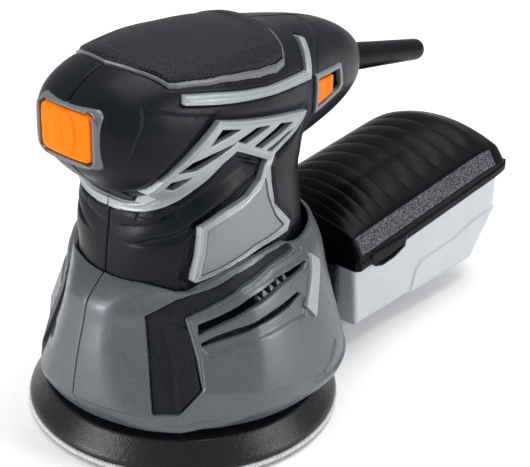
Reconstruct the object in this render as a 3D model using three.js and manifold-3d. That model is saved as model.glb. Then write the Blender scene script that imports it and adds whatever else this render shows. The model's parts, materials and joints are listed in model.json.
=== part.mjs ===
// Orbital sander: palm-grip body on a 125 mm sanding pad, with a plug-on dust box.
// Millimetres, +Z up. Origin: motor axis at the sanding face. The nose points to -Y, the dust box to +Y.
// "left" is the +X side, seen by someone who holds the tool with its nose pointing away.
import * as THREE from "three";
import { mergeVertices } from "three/addons/utils/BufferGeometryUtils.js";
import Module from "manifold-3d";

const wasm = await Module();
wasm.setup();

// ---------- driving dimensions ----------
const gap = 0.3; // clearance between touching pieces
const wall = 2.4; // casing wall
const padRadius = 62.5; // 125 mm pad
const orbit = 1.25; // pad axis offset, half of the orbit
const discTop = 1.0;
const hookTop = 3.0;
const padTop = 13.5;
const dustHoleRadius = 5;
const dustHoleCircle = 32.5;
const skirtBottom = 17.3;
const skirtTop = 77;
const casingBottom = 52;
const shaftRadius = 4.6;
const coreBottom = 72; // motor laminations
const coreTop = 102;
const coilReach = 8; // end turns beyond the laminations
const armatureRadius = 17;
const brushHeight = 116.5;
const fanRadius = 40;
const plateBottom = 47.5;
const windowHalf = 12.9; // front switch opening
const windowLow = 124.1;
const windowHigh = 143.7;
const boxHalf = 32; // dust box
const boxFront = 70;
const boxRear = 178;
const boxBottom = 10;
const lidHalf = 34.6;
const rimFront = 40; // height of the lid's lower edge at the front of the box
const rimSlope = 0.095;
const ductHalf = 20; // outlet between skirt and box
const ductLow = 19;
const ductHigh = 35;
const far = 200; // longer than any cut needs to be

// ---------- solids ----------
function solid(geometry) {
  const bare = geometry.index ? geometry.toNonIndexed() : geometry.clone();
  bare.deleteAttribute("normal");
  bare.deleteAttribute("uv");
  const merged = mergeVertices(bare, 1e-4);
  return new wasm.Manifold(
    new wasm.Mesh({
      numProp: 3,
      vertProperties: merged.attributes.position.array,
      triVerts: new Uint32Array(merged.index.array),
    }),
  );
}

function geometryOf(manifold) {
  const mesh = manifold.getMesh();
  const geometry = new THREE.BufferGeometry();
  geometry.setAttribute("position", new THREE.BufferAttribute(mesh.vertProperties, 3));
  geometry.setIndex(new THREE.BufferAttribute(mesh.triVerts, 1));
  geometry.computeVertexNormals();
  return geometry;
}

const join = (first, ...others) => others.reduce((sum, next) => sum.add(next), first);
const cut = (first, ...others) => others.reduce((rest, next) => rest.subtract(next), first);

function block(x0, x1, y0, y1, z0, z1) {
  const box = new THREE.BoxGeometry(x1 - x0, y1 - y0, z1 - z0);
  return solid(box.translate((x0 + x1) / 2, (y0 + y1) / 2, (z0 + z1) / 2));
}

// A round bar on a line parallel to Z.
function post(radius, z0, z1, x = 0, y = 0, sides = 32) {
  const bar = new THREE.CylinderGeometry(radius, radius, z1 - z0, sides);
  return solid(bar.rotateX(Math.PI / 2).translate(x, y, (z0 + z1) / 2));
}

// A round bar on a line parallel to X.
function pin(radius, x0, x1, y, z, sides = 12) {
  const bar = new THREE.CylinderGeometry(radius, radius, x1 - x0, sides);
  return solid(bar.rotateZ(Math.PI / 2).translate((x0 + x1) / 2, y, z));
}

// A turned piece round Z. The profile is [radius, height], closed, anticlockwise with radius to the right.
function turned(profile, sides = 32) {
  const points = profile.map(([radius, height]) => new THREE.Vector2(radius, height));
  return solid(new THREE.LatheGeometry(points, sides).rotateX(Math.PI / 2));
}

const ring = (inner, outer, z0, z1, sides = 32) =>
  turned([[inner, z0], [outer, z0], [outer, z1], [inner, z1], [inner, z0]], sides);

const shapeOf = (outline) => new THREE.Shape(outline.map(([a, b]) => new THREE.Vector2(a, b)));

function extruded(outline, depth) {
  return new THREE.ExtrudeGeometry(shapeOf(outline), { depth, bevelEnabled: false });
}

// An outline in the (x, y) plane, raised from z0 to z1.
const raised = (outline, z0, z1) => solid(extruded(outline, z1 - z0).translate(0, 0, z0));

// An outline in the (y, z) plane, run from x0 to x1.
function sideCut(outline, x0 = gap / 2, x1 = far) {
  const upright = new THREE.Matrix4().makeBasis(
    new THREE.Vector3(0, 1, 0),
    new THREE.Vector3(0, 0, 1),
    new THREE.Vector3(1, 0, 0),
  );
  return solid(extruded(outline, x1 - x0).applyMatrix4(upright).translate(x0, 0, 0));
}

// The same outline, drawn in by a distance.
function inset(outline, distance) {
  const points = outline.map(([a, b]) => new THREE.Vector2(a, b));
  const side = Math.sign(THREE.ShapeUtils.area(points));
  return points.map((point, i) => {
    const arriving = point.clone().sub(points.at(i - 1)).normalize();
    const leaving = points[(i + 1) % points.length].clone().sub(point).normalize();
    const inward = new THREE.Vector2(-arriving.y - leaving.y, arriving.x + leaving.x).normalize();
    const share = Math.max(inward.dot(new THREE.Vector2(-arriving.y, arriving.x)), 0.4);
    return point.clone().addScaledVector(inward, (side * distance) / share).toArray();
  });
}

// A closed skin over rings of equal length, with flat ends.
function loft(rings) {
  const around = rings[0].length;
  const points = rings.flat();
  const faces = [];
  for (let level = 0; level < rings.length - 1; level += 1) {
    for (let i = 0; i < around; i += 1) {
      const a = level * around + i;
      const b = level * around + ((i + 1) % around);
      faces.push(a, b, b + around, a, b + around, a + around);
    }
  }
  const last = (rings.length - 1) * around;
  for (let i = 1; i < around - 1; i += 1) {
    faces.push(0, i + 1, i, last, last + i, last + i + 1);
  }
  const geometry = new THREE.BufferGeometry().setFromPoints(points);
  geometry.setIndex(faces);
  return solid(geometry);
}

// A smooth curve through rows [position, value, value ...], monotone between rows.
function curve(rows) {
  const step = rows.slice(1).map((row, i) => row[0] - rows[i][0]);
  const slope = rows.slice(1).map((row, i) => row.map((v, c) => (v - rows[i][c]) / step[i]));
  const tangent = rows.map((row, i) => {
    if (i === 0) return slope[0];
    if (i === rows.length - 1) return slope[i - 1];
    const heavy = 2 * step[i] + step[i - 1];
    const light = step[i] + 2 * step[i - 1];
    return row.map((_, c) => {
      const before = slope[i - 1][c];
      const after = slope[i][c];
      return before * after > 0 ? (heavy + light) / (heavy / before + light / after) : 0;
    });
  });
  return (at) => {
    const x = Math.min(Math.max(at, rows[0][0]), rows[rows.length - 1][0]);
    let i = 0;
    while (i < rows.length - 2 && x > rows[i + 1][0]) i += 1;
    const t = (x - rows[i][0]) / step[i];
    const [t2, t3] = [t * t, t * t * t];
    return rows[i].slice(1).map((value, k) => {
      const c = k + 1;
      return (2 * t3 - 3 * t2 + 1) * value + (t3 - 2 * t2 + t) * step[i] * tangent[i][c] +
        (3 * t2 - 2 * t3) * rows[i + 1][c] + (t3 - t2) * step[i] * tangent[i + 1][c];
    });
  };
}

const steps = (from, to, count) =>
  Array.from({ length: count + 1 }, (_, i) => from + ((to - from) * i) / count);

const turn = (count) => steps(0, 2 * Math.PI, count).slice(0, count);
const circle = (radius, x = 0, y = 0, sides = 24) =>
  turn(sides).map((a) => [x + radius * Math.cos(a), y + radius * Math.sin(a)]);

// A box that lies evenly about the middle plane.
const ductBar = (half, z0, z1, y0, y1) => block(-half, half, y0, y1, z0, z1);

// ---------- outer form ----------
// Skirt: height, half width, reach to the front, reach to the rear.
const skirtForm = curve([
  [17.3, 60, 59.5, 61.5],
  [22, 60.5, 61.5, 63],
  [26, 60, 61.5, 63],
  [35, 58, 60, 61],
  [45, 55, 58, 59],
  [57, 51.5, 55, 57.5],
  [64.5, 49.5, 53, 57],
  [69, 47, 48.5, 56.5],
  [73, 43, 43.5, 56],
  [77, 40, 39, 55],
]);
// The front quarters of the skirt are cut flat by an inclined face on each side.
const facetAngle = (44 * Math.PI) / 180;
const facetReach = (z) => 60.5 - 0.371 * (z - skirtBottom);
// Neck: height, half width, reach to the front, reach to the rear.
const neckForm = curve([
  [52, 38, 43, 52.5],
  [66, 38, 44, 54],
  [73, 36.5, 43.5, 52.5],
  [80, 35.5, 42.8, 50],
  [90, 35, 41.5, 47.5],
  [98.5, 34.5, 40.5, 47],
  [104, 34, 40, 49],
  [112, 33, 39, 51],
  [120, 31, 36, 48],
]);
// Head: distance along Y, half width, underside height, top height.
const headForm = curve([
  [-61, 5, 126, 142],
  [-60, 11.5, 123.5, 144],
  [-58, 16.5, 121, 145.5],
  [-55, 21, 117, 148],
  [-48, 26.5, 110, 152],
  [-38, 30.5, 103, 155],
  [-25, 33, 99, 156.5],
  [-10, 34, 98, 157],
  [10, 32.5, 97, 156],
  [28, 29, 97, 153.5],
  [42, 25.5, 98, 150.5],
  [56, 22, 99, 147.5],
  [68, 18.5, 100, 144.5],
  [78, 16, 102, 141],
  [86, 13.5, 104.5, 137],
  [93, 10.5, 108, 132],
  [98, 6.5, 113, 126.5],
]);
const headStations = [-61, -60, -58, -55, -48, -38, -20, 0, 20, 38, 56, 72, 86, 93, 98];
const around = 32; // points round a section
const aroundInside = 20;

function blendedLow(a, b, reach) {
  const h = Math.min(Math.max(0.5 + (0.5 * (b - a)) / reach, 0), 1);
  return b * (1 - h) + a * h - reach * h * (1 - h);
}

function ovalReach(c, s, wide, tall, power) {
  return (Math.abs(c / wide) ** power + Math.abs(s / tall) ** power) ** (-1 / power);
}

function skirt(offset, sides = around) {
  const levels = [skirtBottom, 22, 32, 46, 60, 65, 69, 73, skirtTop];
  return loft(levels.map((z) => {
    const [half, front, rear] = skirtForm(z).map((v) => v + offset);
    return turn(sides).map((angle) => {
      const [c, s] = [Math.cos(angle), Math.sin(angle)];
      const oval = s < 0 ? ovalReach(c, s, half, front, 2) : ovalReach(c, s, half, rear, 2.3);
      const lean = Math.cos(Math.atan2(Math.abs(c), -s) - facetAngle);
      const face = lean > 0.2 ? (facetReach(z) + offset) / lean : far;
      const reach = blendedLow(oval, face, 4);
      return new THREE.Vector3(reach * c, reach * s, z);
    });
  }));
}

function neck(offset, bottom = casingBottom, sides = around) {
  const levels = [bottom, 66, 78, 90, 98.5, 106, 113, 120 + Math.min(offset, 0)];
  return loft(levels.map((z) => {
    const [half, front, rear] = neckForm(z).map((v) => v + offset);
    return turn(sides).map((angle) => {
      const [c, s] = [Math.cos(angle), Math.sin(angle)];
      const reach = ovalReach(c, s, half, s < 0 ? front : rear, 2.5);
      return new THREE.Vector3(reach * c, reach * s, z);
    });
  }));
}

function head(offset, sides = around) {
  return loft(headStations.map((y, i) => {
    const [half, low, high] = headForm(y);
    const middle = (low + high) / 2;
    const tall = (high - low) / 2 + offset;
    const end = i === 0 ? -offset : i === headStations.length - 1 ? offset : 0;
    return turn(sides).map((angle) => {
      const [c, s] = [Math.cos(angle), Math.sin(angle)];
      const reach = ovalReach(c, s, half + offset, tall, 2.4);
      return new THREE.Vector3(-reach * c, y + end, middle + reach * s);
    });
  }));
}

const casing = (offset, bottom, sides) => join(neck(offset, bottom, sides), head(offset, sides));
const casingShell = (inner, outer) => cut(casing(outer, 50), casing(inner, 49));
const skirtShell = (inner, outer) => cut(skirt(outer), skirt(inner));

// ---------- materials ----------
const finish = (color, roughness, metalness = 0) =>
  new THREE.MeshStandardMaterial({ color, roughness, metalness });
const blackPlastic = finish(0x15181c, 0.45);
const softBlack = finish(0x121315, 0.85);
const greyPaint = finish(0x5c636c, 0.4, 0.4);
const silverPaint = finish(0xa6adb6, 0.35, 0.5);
const badgePaint = finish(0x8b929b, 0.4, 0.5);
const orangePlastic = finish(0xff7a00, 0.4);
const padRubber = finish(0x0c0c0d, 0.5);
const hookFabric = finish(0xd8d8d6, 1);
const abrasivePaper = finish(0x8f8d8a, 1);
const clearPlastic = finish(0xd5dade, 0.3);
const steel = finish(0xb4b8bc, 0.3, 1);
const laminations = finish(0x6f7276, 0.5, 0.9);
const copper = finish(0xb4673a, 0.4, 0.9);
const carbon = finish(0x26272a, 0.7);
const castMetal = finish(0x8f949a, 0.5, 0.9);
const boardGreen = finish(0x1f5a36, 0.5);
const paperFilter = finish(0xe6e0cf, 0.95);
const foam = finish(0x2b2c2e, 0.95);

const sander = new THREE.Group();
function add(name, piece, material) {
  const mesh = new THREE.Mesh(geometryOf(piece), material);
  mesh.name = name;
  sander.add(mesh);
  return mesh;
}
const mirrored = (piece) => piece.mirror([1, 0, 0]);
// A left piece and its mirror image.
function addPair(name, piece, material) {
  add(`left_${name}`, piece, material);
  add(`right_${name}`, mirrored(piece), material);
}

// ---------- outlines on the flank, as (y, z) ----------
const grilleOutline = [
  [-46, 97.5], [-41, 97.8], [-37, 102], [-34, 104], [-30, 107], [-21, 115], [-9, 123.3], [9, 112.5],
  [9, 105.5], [-9, 101], [-23.7, 93.2], [-26.8, 70.6], [-10, 75.4], [15, 77.2], [23, 80.5], [12.6, 91],
  [11.6, 102], [13.5, 108.5], [17.5, 112.5], [25, 115], [37, 116], [40, 120.5], [10, 127.6],
  [-5, 131.5], [-17, 135.5], [-22, 129.5], [-32, 124.5], [-40, 118.5], [-43.5, 113.5], [-42.5, 109.5],
  [-38.5, 106.2], [-39.5, 103], [-46, 102],
];
const grilleSlots = [
  [[-16, 131], [-6, 128.4], [-23, 125.8]],
  [[-5.5, 124.2], [0, 127], [13, 123.5]],
  [[4.5, 118], [11.5, 122], [25, 119.8]],
  [[10.5, 114.5], [20, 118.4], [30, 116.9]],
  [[-36, 119.6], [-27, 123], [-12, 123.6], [-29, 120.8]],
  [[-37, 113.6], [-34.5, 116.2], [-27, 117.4], [-29, 114.4]],
];
const badgeOutline = [
  [7.4, 103], [-9, 98.9], [-21.9, 91.8], [-24.7, 73], [-10, 77.4], [13.2, 79.2], [20, 81.6], [11, 91],
];
const stripOutline = [
  [-31, 143], [-1, 138], [42, 131.6], [47, 145], [43.6, 146.2], [38.8, 135.6], [0, 141.4], [-30, 146.2],
];
const slideFrameOutline = [[46.5, 131.5], [70, 128.5], [72, 119], [69.5, 116.5], [46.5, 115.5]];
const slideWindow = [[48.5, 129.3], [68.3, 126.8], [69.6, 119.4], [68, 118.4], [48.5, 117.6]];
const slideButtonOutline = [[49, 128.3], [62, 126.6], [62, 118.9], [49, 118.3]];
const pocketOutline = [
  [-43, 61.5], [-36, 67], [-27, 70.3], [-18, 73.2], [4, 75.5], [25, 77.5], [21, 74], [5, 71.8],
  [-16, 67.6], [-24, 63], [-32, 58.5], [-35.5, 33.5], [-43.5, 24.5], [-51, 25.5],
];
const skirtSlots = [
  [[-31, 57], [-14, 65.5], [18, 69.5], [16, 67.5], [-13, 62.5], [-31, 53.5]],
  [[-31, 51], [-16, 58.6], [15, 64.4], [13, 59.8], [-13, 56.4]],
];
const barOutline = [[21.5, 71], [28, 67.2], [15.5, 49], [10, 54.6]];
const gripHalf = [
  [0, -38.6], [6, -38], [18.6, -34.6], [20.8, -31], [24.4, -20], [25.4, -2], [25.4, 12], [23.4, 21],
  [19.6, 28], [11, 31], [0, 31.6],
];
const trimHalf = [
  [0, -40.8], [6.6, -40.2], [20, -36.6], [22.6, -32], [26.4, -20], [27.4, -2], [27.4, 12], [25.4, 22],
  [21, 29.8], [12, 33], [0, 33.6],
];
const wholeOutline = (half) => [...half, ...half.slice(1, -1).reverse().map(([x, y]) => [-x, y])];

// ---------- screws that hold the two casing halves ----------
// [y, z, half width there]
const casingScrews = [[-27, 130, 30], [25, 131, 26], [75, 121, 15], [37, 88, 24]];
const skirtScrews = [[-49, 40, 24], [52.5, 48.2, 20]];
const bossRadius = 3.6;
const screwRadius = 1.6;
const screwHead = 3;

const bosses = (screws) => screws.map(([y, z, half]) => pin(bossRadius, gap / 2, half, y, z));
const pilotHoles = (screws) => screws.map(([y, z]) => pin(screwRadius + gap, 0, 11, y, z));
// The head sits 6 mm in from the surface, in a well.
const headWells = (screws) =>
  screws.flatMap(([y, z, half]) => [
    pin(screwRadius + gap, -half, 0, y, z),
    pin(screwHead + gap, -far, -half + 6, y, z),
  ]);
function screw([y, z, half]) {
  return join(pin(screwRadius, -half + 5, 10, y, z), pin(screwHead, -half + 3.4, -half + 5.7, y, z));
}

// ---------- casing ----------
const leftSpace = block(gap / 4, far, -far, far, 0, far);
const rightSpace = mirrored(leftSpace);
const bootTilt = -0.196; // the boot falls this much for each millimetre along Y
const bootStart = new THREE.Vector3(0, 88, 120.4);
const bootEnd = new THREE.Vector3(0, 149, 120.4 + bootTilt * 61);

// A turned piece along the boot's axis. The profile is [radius, distance from its inner end].
function alongBoot(profile, sides = 20) {
  const points = profile.map(([radius, along]) => new THREE.Vector2(radius, along));
  const piece = new THREE.LatheGeometry(points, sides);
  const tilt = new THREE.Quaternion().setFromUnitVectors(
    new THREE.Vector3(0, 1, 0),
    bootEnd.clone().sub(bootStart).normalize(),
  );
  return solid(piece.applyQuaternion(tilt).translate(...bootStart));
}

function casingHalf() {
  const openings = [
    block(-windowHalf, windowHalf, -70, -50, windowLow, windowHigh),
    alongBoot([
      [0, -2], [6.3, -2], [6.3, 2.6], [7.8, 2.6], [7.8, 6.4], [6.4, 6.4], [6.4, 20], [0, 20], [0, -2],
    ]),
  ];
  return cut(casing(0), casing(-wall, casingBottom - 10, aroundInside), ...openings);
}

function leftCasing() {
  const slots = grilleSlots.map((slot) => sideCut(slot, 20));
  const posts = join(...bosses(casingScrews)).intersect(casing(-0.5, casingBottom - 1));
  const shell = join(casingHalf().intersect(leftSpace), posts);
  return cut(shell, ...slots, sideCut(slideWindow, 10), ...pilotHoles(casingScrews));
}

function rightCasing() {
  const slots = grilleSlots.map((slot) => mirrored(sideCut(slot, 20)));
  const posts = mirrored(join(...bosses(casingScrews)).intersect(casing(-0.5, casingBottom - 1)));
  const shell = join(casingHalf().intersect(rightSpace), posts);
  return cut(shell, ...slots, ...headWells(casingScrews));
}

// The skirt stops below the badge on each flank.
const flankTop = [[-30, 69.3], [-10, 74.6], [15, 76.4], [24, 79.8], [24, 100], [-30, 100]];

function skirtBase() {
  const room = block(-far, far, -far, far, 0, 68);
  const inside = skirt(-wall, aroundInside);
  const below = raised(circle(57, 0, 0, around), 0, 19);
  const edge = 2 + gap;
  const outlet = ductBar(ductHalf + edge, ductLow - edge, ductHigh + edge, 30, 80);
  const flank = sideCut(flankTop, 20);
  return cut(
    skirt(0), inside.intersect(room), below, neck(0.5, 50), outlet,
    inside.intersect(neck(6, 50)), flank, mirrored(flank),
  );
}

function skirtHalf(side) {
  const recess = cut(sideCut(pocketOutline, 5), skirt(-1.3));
  const openings = [recess, ...skirtSlots.map((slot) => sideCut(slot, 20))];
  const room = skirt(-0.5);
  const posts = join(...bosses(skirtScrews)).intersect(room);
  if (side === "left") {
    const shell = join(skirtBase().intersect(leftSpace), posts);
    return cut(shell, ...openings, ...pilotHoles(skirtScrews));
  }
  const shell = join(skirtBase().intersect(rightSpace), mirrored(posts));
  return cut(shell, ...openings.map(mirrored), ...headWells(skirtScrews));
}

add("left_housing", leftCasing(), blackPlastic);
add("right_housing", rightCasing(), blackPlastic);
add("left_skirt", skirtHalf("left"), greyPaint);
add("right_skirt", skirtHalf("right"), greyPaint);
casingScrews.forEach((place, i) => add(`housing_screw_${i + 1}`, screw(place), steel));
skirtScrews.forEach((place, i) => add(`skirt_screw_${i + 1}`, screw(place), steel));

// ---------- trim on the casing ----------
function addTrim() {
  const skin = casingShell(gap, 1.6);
  const thinSkin = casingShell(gap, 1.2);
  const topLow = 138; // the grip and its trim lie wholly above this height
  const gripOutline = wholeOutline(gripHalf);
  add("top_grip", skin.intersect(raised(gripOutline, topLow, far)), softBlack);
  const trimInner = raised(inset(gripOutline, -gap), topLow, far);
  const trimArea = cut(raised(wholeOutline(trimHalf), topLow, far), trimInner);
  add("grip_trim", thinSkin.intersect(trimArea), silverPaint);
  addPair("accent_strip", skin.intersect(sideCut(stripOutline, 10)), silverPaint);
  const frame = cut(
    skin.intersect(sideCut(grilleOutline)),
    ...grilleSlots.map((slot) => sideCut(slot, 20)),
    sideCut(badgeOutline, 20),
  );
  addPair("side_frame", frame, silverPaint);
  addPair("badge", thinSkin.intersect(sideCut(inset(badgeOutline, gap), 20)), badgePaint);
  const insert = skirtShell(-1, 0).intersect(sideCut(inset(pocketOutline, gap), 5));
  addPair("pocket_insert", cut(insert, neck(0.8, 50)), blackPlastic);
  addPair("duct_bar", skirtShell(gap, 1.4).intersect(sideCut(barOutline, 20)), silverPaint);
}
addTrim();

// ---------- front rocker switch and rear slide switch ----------
const frontCut = (x0, x1, z0, z1, y0 = -70, y1 = -45) => block(x0, x1, y0, y1, z0, z1);

function addSwitches() {
  const rim = 1.7;
  const outer = frontCut(-windowHalf - rim, windowHalf + rim, windowLow - rim, windowHigh + rim);
  const inner = frontCut(-windowHalf, windowHalf, windowLow, windowHigh);
  add("switch_frame", cut(casingShell(gap, 1.5).intersect(outer), inner), silverPaint);
  const room = 0.5;
  const rockerRoom = frontCut(
    -windowHalf + room, windowHalf - room, windowLow + room, windowHigh - room, -70, -53.2,
  );
  add("front_rocker", casing(1, 50).intersect(rockerRoom), orangePlastic);
  const terminals = block(-9, 9, -37, -34, 128, 140);
  add("switch_body", join(block(-11, 11, -51.8, -37, 125, 143), terminals), blackPlastic);
  const slideSkin = casingShell(gap, 1.5).intersect(sideCut(slideFrameOutline, 10));
  add("slide_frame", cut(slideSkin, sideCut(slideWindow, 10)), silverPaint);
  const button = casingShell(-3, 1).intersect(sideCut(slideButtonOutline, 10));
  add("slide_button", button, orangePlastic);
  const board = block(10.4, 11.8, 44, 68, 113, 135);
  const chip = block(8.4, 10.6, 48, 56, 116, 124);
  const capacitor = block(7.4, 10.6, 60, 66, 126, 132);
  add("speed_board", join(board, chip, capacitor), boardGreen);
}

// ---------- cord boot and its clamp (bore for a 6.8 mm cord) ----------
function addBoot() {
  const length = bootEnd.distanceTo(bootStart);
  add("cord_boot", alongBoot([
    [3.4, 0], [5.8, 0], [5.8, 3], [7.4, 3], [7.4, 6], [6, 6], [6, 14], [4.8, length - 1],
    [4.2, length], [3.4, length], [3.4, 0],
  ], 24), softBlack);
  const cordRoom = block(-3.6, 3.6, 70, 90, 117, 121.5);
  add("cord_clamp", cut(block(-8.5, 8.5, 79, 85, 119, 124), cordRoom), blackPlastic);
}

// ---------- motor ----------
const arcOutline = (inner, outer, middle, halfAngle, count = 10) => {
  const at = (radius, angle) => [radius * Math.cos(angle), radius * Math.sin(angle)];
  const outside = steps(middle - halfAngle, middle + halfAngle, count).map((a) => at(outer, a));
  const inside = steps(middle + halfAngle, middle - halfAngle, count).map((a) => at(inner, a));
  return [...outside, ...inside];
};
const degrees = (angle) => (angle * Math.PI) / 180;

function addStator() {
  const outline = turn(32).map((a) => {
    const reach = ovalReach(Math.cos(a), Math.sin(a), 28.5, 33, 4);
    return [reach * Math.cos(a), reach * Math.sin(a)];
  });
  const slots = [90, 270].flatMap((pole) => [-51, 51].map((side) =>
    raised(arcOutline(16, 26.4, degrees(pole + side), degrees(13)), coreBottom - 1, coreTop + 1)));
  const bore = post(armatureRadius + 0.6, coreBottom - 1, coreTop + 1);
  add("stator_core", cut(raised(outline, coreBottom, coreTop), bore, ...slots), laminations);
  ["front", "rear"].forEach((name, i) => {
    const pole = degrees(i === 0 ? 270 : 90);
    const whole = raised(
      arcOutline(18.8, 25.8, pole, degrees(62)), coreBottom - coilReach, coreTop + coilReach,
    );
    const opening = raised(arcOutline(15, 30, pole, degrees(40)), coreBottom - 1, coreTop + 1);
    add(`${name}_field_coil`, cut(whole, opening), copper);
  });
}

function addRotor() {
  add("motor_shaft", turned([
    [0, 28.7], [shaftRadius, 28.7], [shaftRadius, 124], [3.4, 124], [3.4, 135], [0, 135],
  ], 24), steel);
  const bars = turn(8).map((a) => [12.4 * Math.cos(a), 12.4 * Math.sin(a)]);
  const core = ring(shaftRadius + gap, armatureRadius, coreBottom, coreTop);
  const holes = bars.map(([x, y]) => post(2.2, coreBottom - 1, coreTop + 1, x, y, 10));
  add("armature_core", cut(core, ...holes), laminations);
  const ends = [[coreBottom - 7.5, coreBottom - gap], [coreTop + gap, coreTop + 7]]
    .map(([z0, z1]) => ring(shaftRadius + gap, 15.2, z0, z1, 24));
  const winding = bars.map(([x, y]) => post(1.8, coreBottom - 2, coreTop + 2, x, y, 8));
  add("armature_winding", join(...ends, ...winding), copper);
  const grooves = turn(12)
    .map((a) => post(0.7, 110, 124, 10 * Math.cos(a), 10 * Math.sin(a), 6));
  add("commutator", cut(ring(shaftRadius + gap, 9.8, 111, 122.5, 24), ...grooves), copper);
  const blades = turn(10).map((a) => {
    const blade = new THREE.BoxGeometry(25, 1.6, 9).translate(27, 0, 38.4).rotateZ(a);
    return solid(blade);
  });
  const hub = ring(shaftRadius + gap, 9.5, 34, 44.5, 24);
  add("fan", join(ring(9, fanRadius, 42.4, 44.5, 40), hub, ...blades), blackPlastic);
}

const orbitY = -orbit; // the pad axis lies in front of the motor axis at rest
function addEccentric() {
  const cup = post(17.6, 18.6, 32.6, 0, orbitY, 32);
  const lobe = raised(arcOutline(10, 33, degrees(90), degrees(52), 14), 21, 32.6);
  const bearingSeat = post(14.3, 10, 28.1, 0, orbitY, 32);
  const shaftSeat = post(shaftRadius + gap, 10, 40, 0, 0, 24);
  add("counterweight", cut(join(cup, lobe), bearingSeat, shaftSeat), castMetal);
  const bearing = ring(5.3, 14, 19, 27.8, 32).translate([0, orbitY, 0]);
  add("pad_bearing", bearing, steel);
  const bore = post(2.7, 0, 40, 0, orbitY, 12);
  const spindle = join(post(15, padTop + gap, 17, 0, orbitY, 32), post(5, 16, 27.4, 0, orbitY, 24));
  add("pad_spindle", cut(spindle, bore), steel);
  add("pad_bolt", join(post(7, 6, 10, 0, orbitY, 6), post(2.4, 9, 26.5, 0, orbitY, 12)), steel);
}

const lowerSeat = 57.5;
function addBearings() {
  add("upper_bearing", ring(3.7, 9.5, 125, 132, 24), steel);
  add("lower_bearing", ring(shaftRadius + gap, 11, 49.6, 57, 24), steel);
  const plate = turned([
    [6, plateBottom], [43, plateBottom], [43, 50.4], [15, 50.4], [15, lowerSeat], [11.3, lowerSeat],
    [11.3, 49.3], [6, 49.3], [6, plateBottom],
  ], 36);
  add("motor_plate", plate, castMetal);
}

function brushSpring() {
  const turns = 4;
  const coil = new THREE.CatmullRomCurve3(steps(0, 1, turns * 8).map((t) => {
    const angle = t * turns * 2 * Math.PI;
    return new THREE.Vector3(20.9 + t * 6.2, 2.3 * Math.cos(angle), brushHeight + 2.3 * Math.sin(angle));
  }));
  const wire = new THREE.Shape().absarc(0, 0, 0.4, 0, 2 * Math.PI);
  return solid(new THREE.ExtrudeGeometry(wire, { steps: 32, extrudePath: coil, curveSegments: 3 }));
}

function addBrushes() {
  const [low, high] = [brushHeight - 5, brushHeight + 5];
  const holder = block(11.6, 29.2, -5, 5, low, high);
  const channel = block(5, 28, -3.5, 3.5, brushHeight - 3.5, brushHeight + 3.5);
  const lead = block(27, 40, -1.2, 1.2, brushHeight - 1.2, brushHeight + 1.2);
  addPair("brush_holder", cut(holder, channel, lead), castMetal);
  addPair("carbon_brush", block(10.2, 20.1, -3.1, 3.1, brushHeight - 3.1, brushHeight + 3.1), carbon);
  addPair("brush_spring", brushSpring(), steel);
}

// ---------- pad and abrasive ----------
const dustHoles = (z0, z1) => turn(8).map((a) =>
  post(dustHoleRadius, z0, z1, dustHoleCircle * Math.cos(a), orbitY + dustHoleCircle * Math.sin(a), 10));

function addPad() {
  const moved = (piece) => piece.translate([0, orbitY, 0]);
  const disc = moved(turned([[0, 0], [padRadius, 0], [padRadius, discTop], [0, discTop]], 40));
  add("abrasive_disc", cut(disc, ...dustHoles(-1, 5)), abrasivePaper);
  const hookLow = discTop + gap;
  const hook = moved(ring(8.3, padRadius + 0.3, hookLow, hookTop, 40));
  add("hook_layer", cut(hook, ...dustHoles(0, 5)), hookFabric);
  const padLow = hookTop + gap;
  const profile = [
    [8.3, padLow], [padRadius, padLow], [padRadius, 5], [56, padTop], [2.8, padTop], [2.8, 10.3],
    [8.3, 10.3], [8.3, padLow],
  ];
  add("backing_pad", cut(moved(turned(profile, 40)), ...dustHoles(0, 20)), padRubber);
}

// ---------- dust outlet, container and lid ----------
function addOutlet() {
  const tube = ductBar(ductHalf, ductLow, ductHigh, 50, 80);
  const flange = ductBar(ductHalf + 2, ductLow - 2, ductHigh + 2, 50, 66.5);
  const bore = ductBar(ductHalf - 2, ductLow + 2, ductHigh - 2, 40, 90);
  add("outlet_collar", cut(join(tube, flange), bore), blackPlastic);
  const seal = ductBar(ductHalf + 3.5, ductLow - 3.5, ductHigh + 3.5, 67.4, boxFront - gap);
  add("inlet_seal", cut(seal, ductBar(ductHalf + 0.4, ductLow - 0.4, ductHigh + 0.4, 60, 80)), foam);
}

const rimAt = (y) => rimFront + (y - boxFront) * rimSlope;
const boxWall = 1.8;
const boxOutline = [
  [boxFront + 3, boxBottom], [160, boxBottom], [boxRear, 31], [boxRear, rimAt(boxRear) + 3],
  [boxFront, rimAt(boxFront) + 3],
];
// [y, half width, then heights above the rim: top of the lip, shoulder, crown]
const lidForm = curve([
  [67.6, 33.2, 5, 11, 13], [69.5, lidHalf, 6.3, 14, 18], [76, lidHalf, 6.3, 14.2, 22],
  [90, lidHalf, 6.3, 14.2, 24], [101, lidHalf, 6.3, 14.2, 24.6], [134, lidHalf, 6.3, 14.2, 23.4],
  [157, lidHalf, 6.3, 14.2, 22], [167, lidHalf, 5.8, 13.5, 21], [173, 34.4, 5, 12.3, 19],
  [178, 33.8, 4, 10.9, 16.7], [181, 32, 2.5, 8, 12.5],
]);
const lidStations = [67.6, 69.5, 76, 83, 92, 105, 120, 134, 148, 160, 167, 173, 178, 181];
const shoulderInset = 5.1;

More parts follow.
